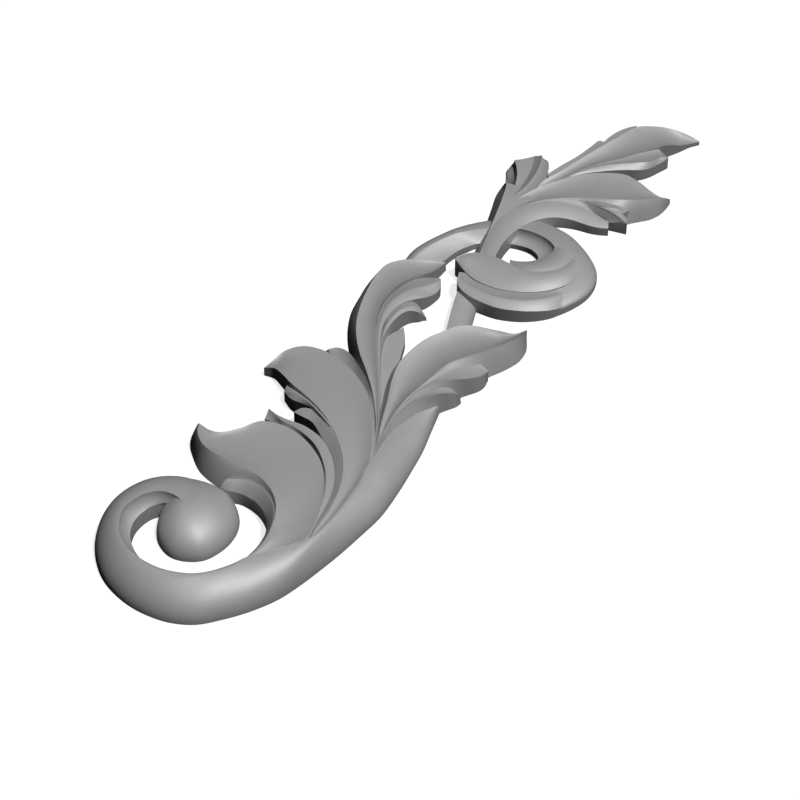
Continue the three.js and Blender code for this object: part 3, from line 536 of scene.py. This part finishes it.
@dataclass
class Stems(Group):
    """The fork, and the thin and arched stems that run behind the leaves to the second scroll."""

    lobes: Sequence[Lobe | Dome] = (
        Lobe("heel", [
            [(-55.5, -5.3, 4.5), (-35.9, -3.2, 4.5), (-6.8, 7.2, 4.5), (14, 17.5, 4.5), (29, 18, 4.5),
             (38, 16.1, 4)],
            [(-60.9, -16.8, 4.5), (-33.1, -15.3, 4.5), (-6.4, -10, 4.5), (11, -5.5, 4), (23.9, -3.1, 3.6),
             (38.5, -2.3, 3.6)],
        ], [FLAT]),
        Lobe("thin", [
            [(78.3, 27.4, 5.2), (68.4, 22.3, 5.2), (57.8, 16.4, 5.3), (44.5, 9.3, 5.4), (32.6, 2.2, 5.2),
             (24.4, -3.6, 5)],
            [(80, 18.7, 0), (76.4, 17.2, 0), (69.6, 13.6, 0), (58.7, 7.6, 0), (44.2, 0.5, 0),
             (29.1, -5.4, 0)],
        ], [ROUND]),
        Lobe("arc_low", [
            [(50.7, 30.5, 3.4), (41.9, 31.7, 3.6), (33.4, 29.1, 3.8), (26.3, 24, 4.2), (20, 18.2, 4.6),
             (13.4, 12.8, 5), (1.6, 2.7, 6)],
            [(50.3, 30.2, 3.4), (45.6, 25.7, 3.5), (40, 22.5, 3.6), (33.7, 19.1, 3.8), (26.5, 15, 4.2),
             (17, 9.3, 5), (2.6, 0.8, 6.4)],
        ], [crowned(0.3)]),
        Lobe("arc_top", [
            [(75, 53.8, 0), (79.9, 54.9, 0), (85.7, 55.8, 0), (92.3, 55, 0), (98.8, 53.4, 0), (107, 50.8, 0),
             (117.2, 44.8, 0), (122.3, 39.6, 0)],
            [(75.6, 49.4, 5.2), (82.8, 50.5, 5.6), (89.6, 49.8, 5.9), (96.4, 48.1, 6), (101.3, 46.2, 6),
             (108.3, 41.2, 6.1), (113.7, 35.9, 6.2), (115.4, 33.8, 6.2)],
            [(82.4, 43.3, 3), (88.3, 42.4, 3), (92.4, 42.3, 3), (96.5, 41.8, 3), (99.9, 40.7, 3),
             (103.8, 39.4, 2.6), (107.9, 35.9, 2.2), (111.7, 31.2, 2)],
        ], [ROUND, crowned(-0.3)]),
    )


@dataclass
class Scroll(Group):
    """The second scroll: its round body, outer band, broad curled lobe, inner ledge and rolled eye."""

    lobes: Sequence[Lobe | Dome] = (
        Lobe("S_body", [
            [(117.2, 44.8, 0), (124, 39, 0), (128.4, 32.7, 0), (131.3, 25.3, 0), (131.6, 15.8, 0),
             (130.1, 9.9, 0), (126.7, 2.6, 0.3), (122.8, -3.2, 0.9), (119.1, -6.5, 1.4), (114, -9, 1.9),
             (107.7, -10, 2.3), (100.5, -9, 2.6), (92.3, -6, 2.7), (86, -1.6, 2.7), (80.9, 4.7, 2.7)],
            [(111.3, 38.8, 6.1), (116.2, 33, 6.2), (118.2, 28.8, 6.3), (119.4, 23, 6.7), (119.4, 18.2, 6.9),
             (118.7, 14.8, 6.9), (117, 12.3, 6.9), (110.4, 12.2, 7), (104.2, 16.7, 6.5), (102.2, 21.4, 5.8)],
        ], [ROUND]),
        Lobe("S_outer", [
            [(79, 28.6, 8), (77.2, 26.4, 7.6), (76.5, 23.1, 7), (76.3, 20.1, 6.7), (76.9, 15.8, 6.3),
             (77.7, 11.8, 6.1), (79, 8.1, 5.9), (82.9, 1.7, 5.7), (88.1, -3.5, 5), (93.3, -6.6, 4),
             (100.6, -8, 2.4), (109.4, -7.4, 0.8)],
            [(80.3, 29.3, 8.2), (80, 26.5, 8), (79.9, 23.1, 7.9), (80.2, 18.5, 7.8), (80.9, 14.4, 7.7),
             (82.2, 10.7, 7.6), (86.1, 4.3, 7.4), (91.7, -0.7, 6.9), (97.3, -3.4, 6), (104.7, -4.7, 4.5),
             (113.3, -4.3, 2.8)],
            [(83.4, 31.2, 7.4), (85.2, 29.7, 6.6), (84.8, 26, 6.2), (84.9, 22.3, 6.1), (85.6, 18.1, 6.1),
             (86.9, 14.4, 6.1), (90.6, 7.8, 6.1), (95.5, 2.3, 6), (100.4, -0.9, 5.7), (106.1, -2.6, 5.1),
             (112.6, -2.4, 4.2)],
        ], [crowned(0.4), crowned(-0.2)]),
        Lobe("S1", [
            [(87.3, 36.3, 8.4), (86.7, 34.4, 8), (85.8, 31.9, 7.6), (85.1, 29.2, 7.2), (84.6, 25.5, 6.9),
             (84.8, 21.3, 6.7), (86.2, 15.3, 6.6), (89.8, 8.2, 6.6), (95.1, 2, 6.6), (100.3, -1.4, 6.5),
             (106.4, -3.3, 6.1), (112.6, -3.2, 5.4)],
            [(87.2, 36.2, 8.6), (90.6, 35.2, 8.7), (93.7, 33.3, 8.8), (96.1, 29.9, 8.8), (97.2, 26, 8.9),
             (97.8, 21.8, 8.9), (98, 17.6, 8.9), (98.2, 13.6, 8.9), (99.7, 10, 8.8), (102.7, 6.6, 8.6),
             (107, 3.9, 8.2), (111.8, 2.8, 7.5), (117.6, 3.5, 6.6)],
        ], [crowned(0.8)]),
        Lobe("S3", [
            [(99.9, 20.2, 6.6), (99.2, 13.8, 7.8), (100.2, 10.3, 8.1), (103.1, 6.9, 8), (107.4, 4.1, 7.7),
             (112.8, 3.1, 7.1), (119.9, 4.8, 6.2)],
            [(102.5, 22.1, 5.6), (103, 19.2, 6.2), (106.4, 14.2, 7), (113.2, 11.5, 7.1), (117.9, 12.7, 6.8)],
        ], [crowned(0.9)]),
        Lobe("S_in", [
            [(113.3, 36, 6.1), (117.5, 29.2, 6.3), (119.1, 23.2, 6.7), (119.3, 18.6, 6.9), (117.1, 12.4, 6.9),
             (111.3, 11.9, 6.9), (108.2, 13.2, 6.9)],
            [(110.2, 33.4, 2), (113.4, 27.7, 2.3), (114.6, 21.5, 2.8), (112.8, 16.7, 3.2), (109.1, 14.8, 4.4),
             (107.2, 14.8, 5.2)],
        ], [COVE]),
    )


@dataclass
class Spray(Group):
    """The leaf spray: its stem, lower band, pleats, two long leaves and the curled pair on the left."""

    lobes: Sequence[Lobe | Dome] = (
        Lobe("leafstem", [
            [(94.7, 35.4, 0), (106.5, 40.6, 0), (117.4, 45.4, 0), (124.9, 49, 0), (132.5, 52.7, 0),
             (137.4, 54.1, 0), (140.7, 54.8, 0)],
            [(90.5, 28.8, 8.6), (102.5, 34.2, 8), (113.9, 39.4, 7.3), (121.8, 42.9, 7.1), (128, 45.8, 6.9),
             (132.1, 47.9, 6.5), (135.9, 50.4, 5.9)],
            [(92.3, 24.3, 8.3), (106.5, 29.1, 7.2), (117.4, 31.1, 6.4), (126.2, 29.8, 6), (133.8, 26.5, 5.8),
             (140, 22.6, 5.8), (145.7, 19.8, 5.8)],
        ], [FLAT, crowned(-0.3)]),
        Lobe("C5", [
            [(96.9, 25.3, 8.2), (108.3, 29.1, 7.2), (118.4, 29.9, 6.2), (126.7, 28.2, 5.6),
             (132.5, 24.1, 5.3), (135.7, 19.3, 4.8), (137.2, 15.6, 4.3), (138.4, 11.7, 4), (140.1, 8.2, 3.8),
             (141.9, 5.6, 3.8)],
            [(95.9, 30.3, 8.6), (107.9, 36.1, 7.8), (117, 38.5, 7.3), (123.7, 38, 7.1), (129.2, 36.1, 7),
             (135.1, 33.4, 6.9), (139.6, 29.7, 6.8), (142.5, 24.6, 6.5), (143.5, 20.6, 6.1),
             (143.8, 15.9, 5.5), (143.9, 11.2, 5.1), (144, 7.2, 4.8)],
        ], [crowned(0.5)]),
        Lobe("C4", [
            [(144.5, 7.3, 4.1), (144.4, 11.5, 4.3), (144.2, 16.2, 4.8), (143.8, 20.7, 5.6),
             (142.6, 24.7, 6.2), (139.7, 29.7, 6.6)],
            [(147, 0.7, 5.5), (146.6, 6.2, 7.6), (146.2, 13.1, 7.9), (145.8, 17.6, 7.6), (143.8, 24.7, 7),
             (139.8, 29.8, 6.7)],
        ], [FLAT]),
        Lobe("P1", [
            [(146.9, 0.9, 5.4), (146.4, 6.4, 7.5), (145.9, 13.1, 7.8), (145.6, 17.4, 7.5),
             (143.8, 24.2, 6.9)],
            [(149.5, 2.6, 5.2), (149.3, 4.5, 6.5), (147.2, 9.6, 7.9), (146.3, 13.2, 7.9), (146, 17.7, 7.6),
             (143.9, 24.7, 7)],
        ], [FLAT]),
        Lobe("P2", [
            [(149.3, 4.7, 6.5), (148.3, 7, 7.5), (147.2, 9.6, 7.9), (146.4, 13.3, 7.9), (145.9, 19.5, 7.2)],
            [(149.9, 4.4, 6.9), (149.4, 6.2, 7.8), (147, 11.3, 8.2), (146.4, 14.2, 8.1), (145.9, 20.1, 7.2)],
            [(153.8, 4.8, 5.4), (152.7, 7.5, 6.4), (151, 11, 7.1), (149, 15.2, 7.4), (146.6, 20.6, 7.1)],
        ], [crowned(0.2), FLAT]),
        Lobe("C3", [
            [(172.2, -1.4, 0), (170.3, -1.9, 0), (167.8, -2.3, 0), (164.3, -2.4, 0), (159.6, -1.2, 0),
             (156.2, 1, 0), (152.1, 3.7, 0), (146.8, 5.9, 0), (142.2, 9.6, 0), (137.4, 18, 0),
             (131.3, 25.3, 0), (118.6, 29.8, 0), (105.8, 29.3, 0)],
            [(172.2, -1.3, 2), (168.8, -1.2, 4.6), (165.9, 0.1, 6.2), (162.5, 1.5, 7.3), (159.1, 3.7, 7.9),
             (154, 9.5, 8), (149.8, 15.8, 7.8), (145.6, 22.3, 7.5), (140.7, 28.1, 7.2), (134.8, 33.2, 7.1),
             (127, 36.7, 7.1), (118.1, 37.9, 7.4)],
            [(172.2, -1.2, 2), (169.9, -0.9, 4), (167.7, 0.4, 5.4), (167.4, 5.1, 6.2), (168.3, 10.5, 6.6),
             (167.9, 17, 7.1), (164.7, 22.3, 7.3), (160.3, 27.7, 7.1), (153.9, 32.5, 7), (143.5, 37.5, 6.8),
             (137, 39.7, 6.6), (130.8, 40.7, 6.4), (123.4, 41.2, 6.5)],
        ], [crowned(1.3), crowned(-1)]),
        Lobe("C2", [
            [(188.4, 11.7, 5.2), (186.6, 12, 4.9), (184.3, 12.6, 4.6), (179.4, 13.8, 4.6), (175.4, 15.8, 5.4),
             (169.7, 21.2, 6.1), (163.7, 26.3, 6.5), (157.2, 31.1, 6.6), (149.3, 34.7, 6.5),
             (139.2, 37.8, 5.7)],
            [(188.4, 11.7, 5.5), (187.3, 12.6, 5.8), (185.6, 13.8, 6.1), (181, 14.7, 6.7), (177.4, 17.4, 7),
             (171.6, 22.7, 7.3), (165.5, 27.8, 7.3), (157.9, 31.7, 7.1), (149.3, 34.7, 6.8),
             (139, 37.6, 5.9)],
            [(190.8, 18.8, 5.4), (187.6, 20, 5.5), (183.7, 22, 5.7), (179.7, 23.8, 5.9), (175.7, 25.7, 6),
             (169.9, 28.7, 6.2), (163.6, 31.2, 6.4), (156.8, 33.3, 6.5), (148.6, 35.6, 6.5),
             (139.1, 37.7, 5.8)],
        ], [crowned(0.4), crowned(-0.6)]),
        Lobe("C1", [
            [(207.6, 10.4, 1.6), (203.9, 12.4, 1.9), (201.5, 13.1, 2.6), (199.1, 13.8, 3.5), (196.3, 14.8, 5),
             (193.2, 16, 6.2), (189.4, 18.1, 6.4), (183.1, 21.6, 6.6), (175, 25.2, 6.9), (167.5, 29.3, 7),
             (159.1, 32.6, 6.9), (149.7, 35, 6.6), (139.3, 38.1, 5.7)],
            [(207.9, 10.6, 1.7), (207, 14.7, 2.8), (205.9, 18.8, 3.6), (203.8, 23.1, 4.4), (199.8, 28.1, 5.2),
             (194.9, 31.8, 5.9), (185.5, 33.2, 6.6), (174.7, 34.8, 7), (164.1, 36.4, 7), (153.3, 37.9, 6.9),
             (144.5, 39.8, 6.4), (138.1, 38.6, 5.4)],
        ], [crowned(-1.3)]),
        Lobe("C1b", [
            [(193.5, 30.3, 5.6), (184.7, 32, 5.2), (174.1, 33.7, 5.4), (163.5, 35.4, 5.4), (152.7, 36.8, 5.4),
             (144.4, 37.7, 5.6)],
            [(196.1, 32.9, 5.2), (193.5, 35.1, 4.8), (189.2, 36.8, 4.6), (183.6, 37.5, 4.5),
             (180.6, 37.4, 4.5), (180.6, 39.1, 4.4), (174.6, 39.5, 4.5), (167.3, 39.8, 4.7), (158.7, 41, 5),
             (151.5, 41.8, 5.2)],
        ], [crowned(-0.2)]),
        Lobe("C7", [
            [(156, 45.3, 0), (150.4, 43.4, 1), (144.6, 42.1, 2), (139.1, 42.2, 3), (133.4, 42.7, 4)],
            [(157.4, 48.8, 4.4), (157.6, 47.3, 4.6), (155.5, 44.9, 4.9), (151.8, 42.4, 5.2),
             (145.3, 39.1, 5.7), (139.7, 38.4, 6), (135.2, 39.3, 6.2), (130.4, 40.4, 6.3)],
            [(158.7, 50.8, 4.2), (155.4, 48.7, 4.2), (150.5, 46.6, 4.5), (144.3, 44.7, 5), (138.1, 43.3, 5.7),
             (133.1, 43, 6.2), (129, 43.2, 6.4)],
        ], [FLAT, crowned(-0.3)]),
        Lobe("C6", [
            [(158.7, 50.8, 4.6), (154.6, 48.2, 5.2), (149.4, 46, 5.8), (142.9, 44.1, 6.3), (137.7, 43.2, 6.6),
             (132.9, 43.1, 6.6), (129.5, 43.6, 6.4)],
            [(158.3, 54.2, 2.6), (153, 51, 3.2), (146.5, 47.9, 4.1), (139.7, 45.5, 5.1), (134.2, 44.4, 5.8),
             (129.7, 43.9, 6.2)],
            [(149.6, 57.2, 4.6), (146.2, 53.6, 5.2), (142.6, 50.4, 5.5), (138.7, 47.9, 5.7),
             (134.2, 45.8, 5.8), (129.7, 44.2, 6.1)],
            [(150.3, 58.1, 2.4), (147.2, 55.3, 2.6), (143.8, 52.6, 2.8), (139.4, 49.9, 3.4), (135, 47.3, 4.4),
             (129.9, 44.9, 5.6)],
            [(149.6, 58.7, 1.2), (146.6, 58, 1), (144, 56.2, 0.9), (141.6, 53.4, 1.2), (137.1, 49.5, 2.8),
             (130.2, 45.6, 5)],
            [(149.4, 59.2, 0), (146.4, 58.7, 0), (143.7, 56.8, 0), (141.4, 55, 0), (137.4, 51.4, 1),
             (130.7, 46.9, 4)],
        ], [crowned(-0.2), crowned(-0.3), FLAT, crowned(-0.3), FLAT]),
    )


def linear(code: str) -> tuple[float, float, float, float]:
    """Turns an sRGB hex colour into linear red, green, blue and alpha.

    Each channel c is c / 12.92 up to 0.04045 and ((c + 0.055) / 1.055) to the power 2.4 above it.
    """
    srgb = np.array([int(code[k : k + 2], 16) for k in (1, 3, 5)]) / 255.0
    channels = np.where(srgb <= 0.04045, srgb / 12.92, ((srgb + 0.055) / 1.055) ** 2.4)
    return (*channels.tolist(), 1.0)


def add_node(
    tree: bpy.types.NodeTree,
    kind: str,
    settings: dict[str, object] | None = None,
    inputs: dict[str | int, object] | None = None,
) -> bpy.types.Node:
    """Adds a node with its settings, and its sockets set or linked.

    Args:
        tree: The node tree that it joins.
        kind: The node's type name.
        settings: Properties of the node itself.
        inputs: For each socket, either a value or the output socket that feeds it.

    Returns:
        The new node.
    """
    node = tree.nodes.new(kind)
    for key, value in (settings or {}).items():
        setattr(node, key, value)
    for key, value in (inputs or {}).items():
        if isinstance(value, bpy.types.NodeSocket):
            tree.links.new(value, node.inputs[key])
        else:
            node.inputs[key].default_value = value
    return node


@dataclass(frozen=True)
class PrimedLimewood:
    """Carved limewood under two coats of grey primer, rubbed down between them.

    The primer gives an even neutral grey with a soft broad sheen. The wood's straight grain still shows
    as very shallow ridges along the sweep, and the sprayed coat has a faint stipple.

    Attributes:
        name: The material's name.
        grey: The primer's colour where it lies full.
        thin_grey: Its colour where it lies thin.
        roughness: How widely the primer spreads its shine.
        ior: Its index of refraction.
        specular: How strong its shine is.
        sheen: How much of the rubbed top coat lies over it.
        sheen_roughness: How widely the top coat spreads its shine.
        grain_spacing: The spacing of the grain's ridges across the sweep, in millimetres.
        grain_stretch: The grain's fineness along the sweep, as a share of that across it.
        grain_detail: How many finer sizes of ridge are laid over the first.
        grain_depth: The ridges' height, in millimetres.
        stipple_spacing: The spacing of the stipple, in millimetres.
        stipple_detail: How many finer sizes of stipple are laid over the first.
        stipple_depth: The stipple's height, in millimetres.
    """

    name: str = "primed_limewood"
    grey: str = "#8e8e8d"
    thin_grey: str = "#868685"
    roughness: float = 0.58
    ior: float = 1.5
    specular: float = 1.0
    sheen: float = 1.0
    sheen_roughness: float = 0.55
    grain_spacing: float = 0.9
    grain_stretch: float = 0.06
    grain_detail: float = 3.0
    grain_depth: float = 0.010
    stipple_spacing: float = 0.8
    stipple_detail: float = 2.0
    stipple_depth: float = 0.004

    def material(self) -> bpy.types.Material:
        """Builds the finish from its nodes, on Object coordinates."""
        made = bpy.data.materials.new(self.name)
        made.use_nodes = True
        tree = made.node_tree
        tree.nodes.clear()
        place = add_node(tree, "ShaderNodeTexCoord").outputs["Object"]
        along = add_node(
            tree,
            "ShaderNodeMapping",
            {},
            {"Vector": place, "Scale": (self.grain_stretch, 1.0, 1.0)},
        )
        grain = add_node(
            tree,
            "ShaderNodeTexNoise",
            {},
            {
                "Vector": along.outputs[0],
                "Scale": 1 / (self.grain_spacing * MM),
                "Detail": self.grain_detail,
            },
        )
        stipple = add_node(
            tree,
            "ShaderNodeTexNoise",
            {},
            {
                "Vector": place,
                "Scale": 1 / (self.stipple_spacing * MM),
                "Detail": self.stipple_detail,
            },
        )
        ridges = add_node(
            tree,
            "ShaderNodeBump",
            {},
            {"Strength": 1.0, "Distance": self.grain_depth * MM, "Height": grain.outputs["Fac"]},
        )
        coat = add_node(
            tree,
            "ShaderNodeBump",
            {},
            {
                "Strength": 1.0,
                "Distance": self.stipple_depth * MM,
                "Height": stipple.outputs["Fac"],
                "Normal": ridges.outputs[0],
            },
        )
        colour = add_node(
            tree,
            "ShaderNodeMix",
            {"data_type": "RGBA"},
            {0: grain.outputs["Fac"], 6: linear(self.thin_grey), 7: linear(self.grey)},
        )
        shader = add_node(
            tree,
            "ShaderNodeBsdfPrincipled",
            {},
            {
                "Base Color": colour.outputs[2],
                "Roughness": self.roughness,
                "IOR": self.ior,
                "Specular IOR Level": self.specular,
                "Coat Weight": self.sheen,
                "Coat Roughness": self.sheen_roughness,
                "Normal": coat.outputs[0],
            },
        )
        add_node(tree, "ShaderNodeOutputMaterial", {}, {"Surface": shader.outputs[0]})
        return made


@dataclass
class Carving:
    """The whole onlay as one closed piece.

    Attributes:
        name: The piece's name.
        groups: The parts of the carving, from the volute to the spray.
        finish: What it is finished with.
    """

    name: str = "onlay_carving"
    groups: Sequence[Group] = field(
        default_factory=lambda: [
            Volute(),
            RingLeaf(),
            SecondLeaf(),
            UprightLeaf(),
            RightLeaf(),
            Stems(),
            Scroll(),
            Spray(),
        ]
    )
    finish: PrimedLimewood = PrimedLimewood()

    def build(self) -> bpy.types.Object:
        """Builds every lobe, joins them into one closed mesh and dresses it.

        Returns:
            The finished piece.
        """
        solids = [solid for group in self.groups for solid in group.solids()]
        piece = self.joined(solids)
        piece.data.materials.clear()
        piece.data.materials.append(self.finish.material())
        self.shade(piece)
        LOG.info("%s: %d faces", piece.name, len(piece.data.polygons))
        return piece

    def joined(self, solids: list[bpy.types.Object]) -> bpy.types.Object:
        """Joins closed solids into one, and removes them.

        Args:
            solids: The lobes, which run into each other.

        Returns:
            One object whose mesh has no inner faces.
        """
        first, *others = solids
        tools = bpy.data.collections.new("lobes")
        for solid in others:
            tools.objects.link(solid)
        union = first.modifiers.new("union", "BOOLEAN")
        union.operation = "UNION"
        union.solver = "MANIFOLD"
        union.operand_type = "COLLECTION"
        union.collection = tools
        bpy.context.view_layer.update()
        graph = bpy.context.evaluated_depsgraph_get()
        mesh = bpy.data.meshes.new_from_object(first.evaluated_get(graph))
        mesh.name = self.name
        piece = bpy.data.objects.new(self.name, mesh)
        bpy.context.scene.collection.objects.link(piece)
        for solid in solids:
            bpy.data.objects.remove(solid, do_unlink=True)
        bpy.data.collections.remove(tools)
        LOG.info("joined, with %d open edges", open_edges(mesh))
        return piece

    def shade(self, piece: bpy.types.Object) -> None:
        """Shades the faces smooth up to the carved creases."""
        mesh = piece.data
        mesh.shade_smooth()
        mesh.set_sharp_from_angle(angle=CREASE)
        weighted = piece.modifiers.new("even shading", "WEIGHTED_NORMAL")
        weighted.keep_sharp = True


@dataclass
class Studio:
    """The floor, the light and the camera.

    Attributes:
        aim: Where the camera looks, on the floor, in millimetres.
        distance: How far it stands from there, in millimetres.
        bearing: The compass direction that it looks in, in degrees from Y towards X.
        elevation: How steeply it looks down, in degrees.
        lens: Its focal length, in millimetres.
        sensor: The width of its sensor, in millimetres.
        reach: How far it sees, in metres.
        key_strength: The strength of the soft light from above.
        key_from: Where that light comes from: right, away and up, as the camera sees it.
        key_softness: How wide the light looks from the onlay, in degrees.
        sky: The strength of the even light all round.
        floor_size: The floor's width, in millimetres.
        floor_drop: How far the floor lies below the onlay's back, in millimetres.
        floor_grey: The colour of the floor's paper.
        floor_roughness: How widely the paper spreads its shine.
        floor_glow: The light that the paper gives back, so that it looks white.
    """

    aim: tuple[float, float] = (23.33, 9.45)
    distance: float = 1080.0
    bearing: float = 50.0
    elevation: float = 45.0
    lens: float = 135.0
    sensor: float = 36.0
    reach: float = 20.0
    key_strength: float = 4.0
    key_from: tuple[float, float, float] = (0.37, -0.26, 1.0)
    key_softness: float = 8.0
    sky: float = 0.012
    floor_size: float = 6000.0
    floor_drop: float = 0.2
    floor_grey: str = "#7f7f7f"
    floor_roughness: float = 0.9
    floor_glow: float = 0.8

    def to_row(self, right: float, away: float) -> tuple[float, float]:
        """Turns a direction seen by the camera, to the right and away, into the frame's x and y."""
        turn = math.radians(self.bearing)
        return (
            right * math.cos(turn) + away * math.sin(turn),
            away * math.cos(turn) - right * math.sin(turn),
        )

    def camera(self) -> None:
        """Sets up the camera at the photograph's viewing angle."""
        rise = math.radians(self.elevation)
        back = self.to_row(0.0, -self.distance * math.cos(rise))
        lens = bpy.data.cameras.new("camera")
        lens.sensor_width = self.sensor
        lens.lens = self.lens
        lens.clip_end = self.reach
        camera = bpy.data.objects.new("camera", lens)
        bpy.context.scene.collection.objects.link(camera)
        camera.location = Vector(
            (self.aim[0] + back[0], self.aim[1] + back[1], self.distance * math.sin(rise))
        ) * MM
        target = Vector((self.aim[0], self.aim[1], 0.0)) * MM
        camera.rotation_euler = (camera.location - target).to_track_quat("Z", "Y").to_euler()
        bpy.context.scene.camera = camera

    def light(self) -> None:
        """Sets up one broad soft light from above and a faint even sky."""
        lamp = bpy.data.lights.new("softbox", "SUN")
        lamp.energy = self.key_strength
        lamp.angle = math.radians(self.key_softness)
        key = bpy.data.objects.new("softbox", lamp)
        bpy.context.scene.collection.objects.link(key)
        right, away, up = self.key_from
        key.rotation_euler = Vector((*self.to_row(right, away), up)).to_track_quat("Z", "Y").to_euler()
        world = bpy.data.worlds.new("studio")
        world.use_nodes = True
        backdrop = world.node_tree.nodes["Background"]
        backdrop.inputs["Color"].default_value = WHITE
        backdrop.inputs["Strength"].default_value = self.sky
        bpy.context.scene.world = world
        bpy.context.scene.view_settings.view_transform = "Standard"

    def floor(self) -> bpy.types.Object:
        """Lays the plain pale floor just under the back of the onlay."""
        half, drop = self.floor_size / 2 * MM, self.floor_drop * MM
        mesh = bpy.data.meshes.new("studio_floor")
        corners = [(x * half, y * half, -drop) for x, y in ((-1, -1), (1, -1), (1, 1), (-1, 1))]
        mesh.from_pydata(corners, [], [(0, 1, 2, 3)])
        floor = bpy.data.objects.new("studio_floor", mesh)
        bpy.context.scene.collection.objects.link(floor)
        paper = bpy.data.materials.new("white_paper")
        paper.use_nodes = True
        shader = paper.node_tree.nodes["Principled BSDF"]
        shader.inputs["Base Color"].default_value = linear(self.floor_grey)
        shader.inputs["Roughness"].default_value = self.floor_roughness
        shader.inputs["Emission Color"].default_value = WHITE
        shader.inputs["Emission Strength"].default_value = self.floor_glow
        mesh.materials.append(paper)
        floor.visible_diffuse = False
        floor.visible_glossy = False
        return floor

    def build(self) -> None:
        """Builds the studio."""
        self.camera()
        self.light()
        self.floor()


def main() -> None:
    """Builds the onlay in its frame, and the studio round it."""
    logging.basicConfig(level=logging.INFO, format="%(name)s: %(message)s")
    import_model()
    Studio().build()
    piece = Carving().build()
    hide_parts(NODE)
    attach(piece, BODY)
    bpy.context.view_layer.update()


if __name__ == "__main__":
    main()
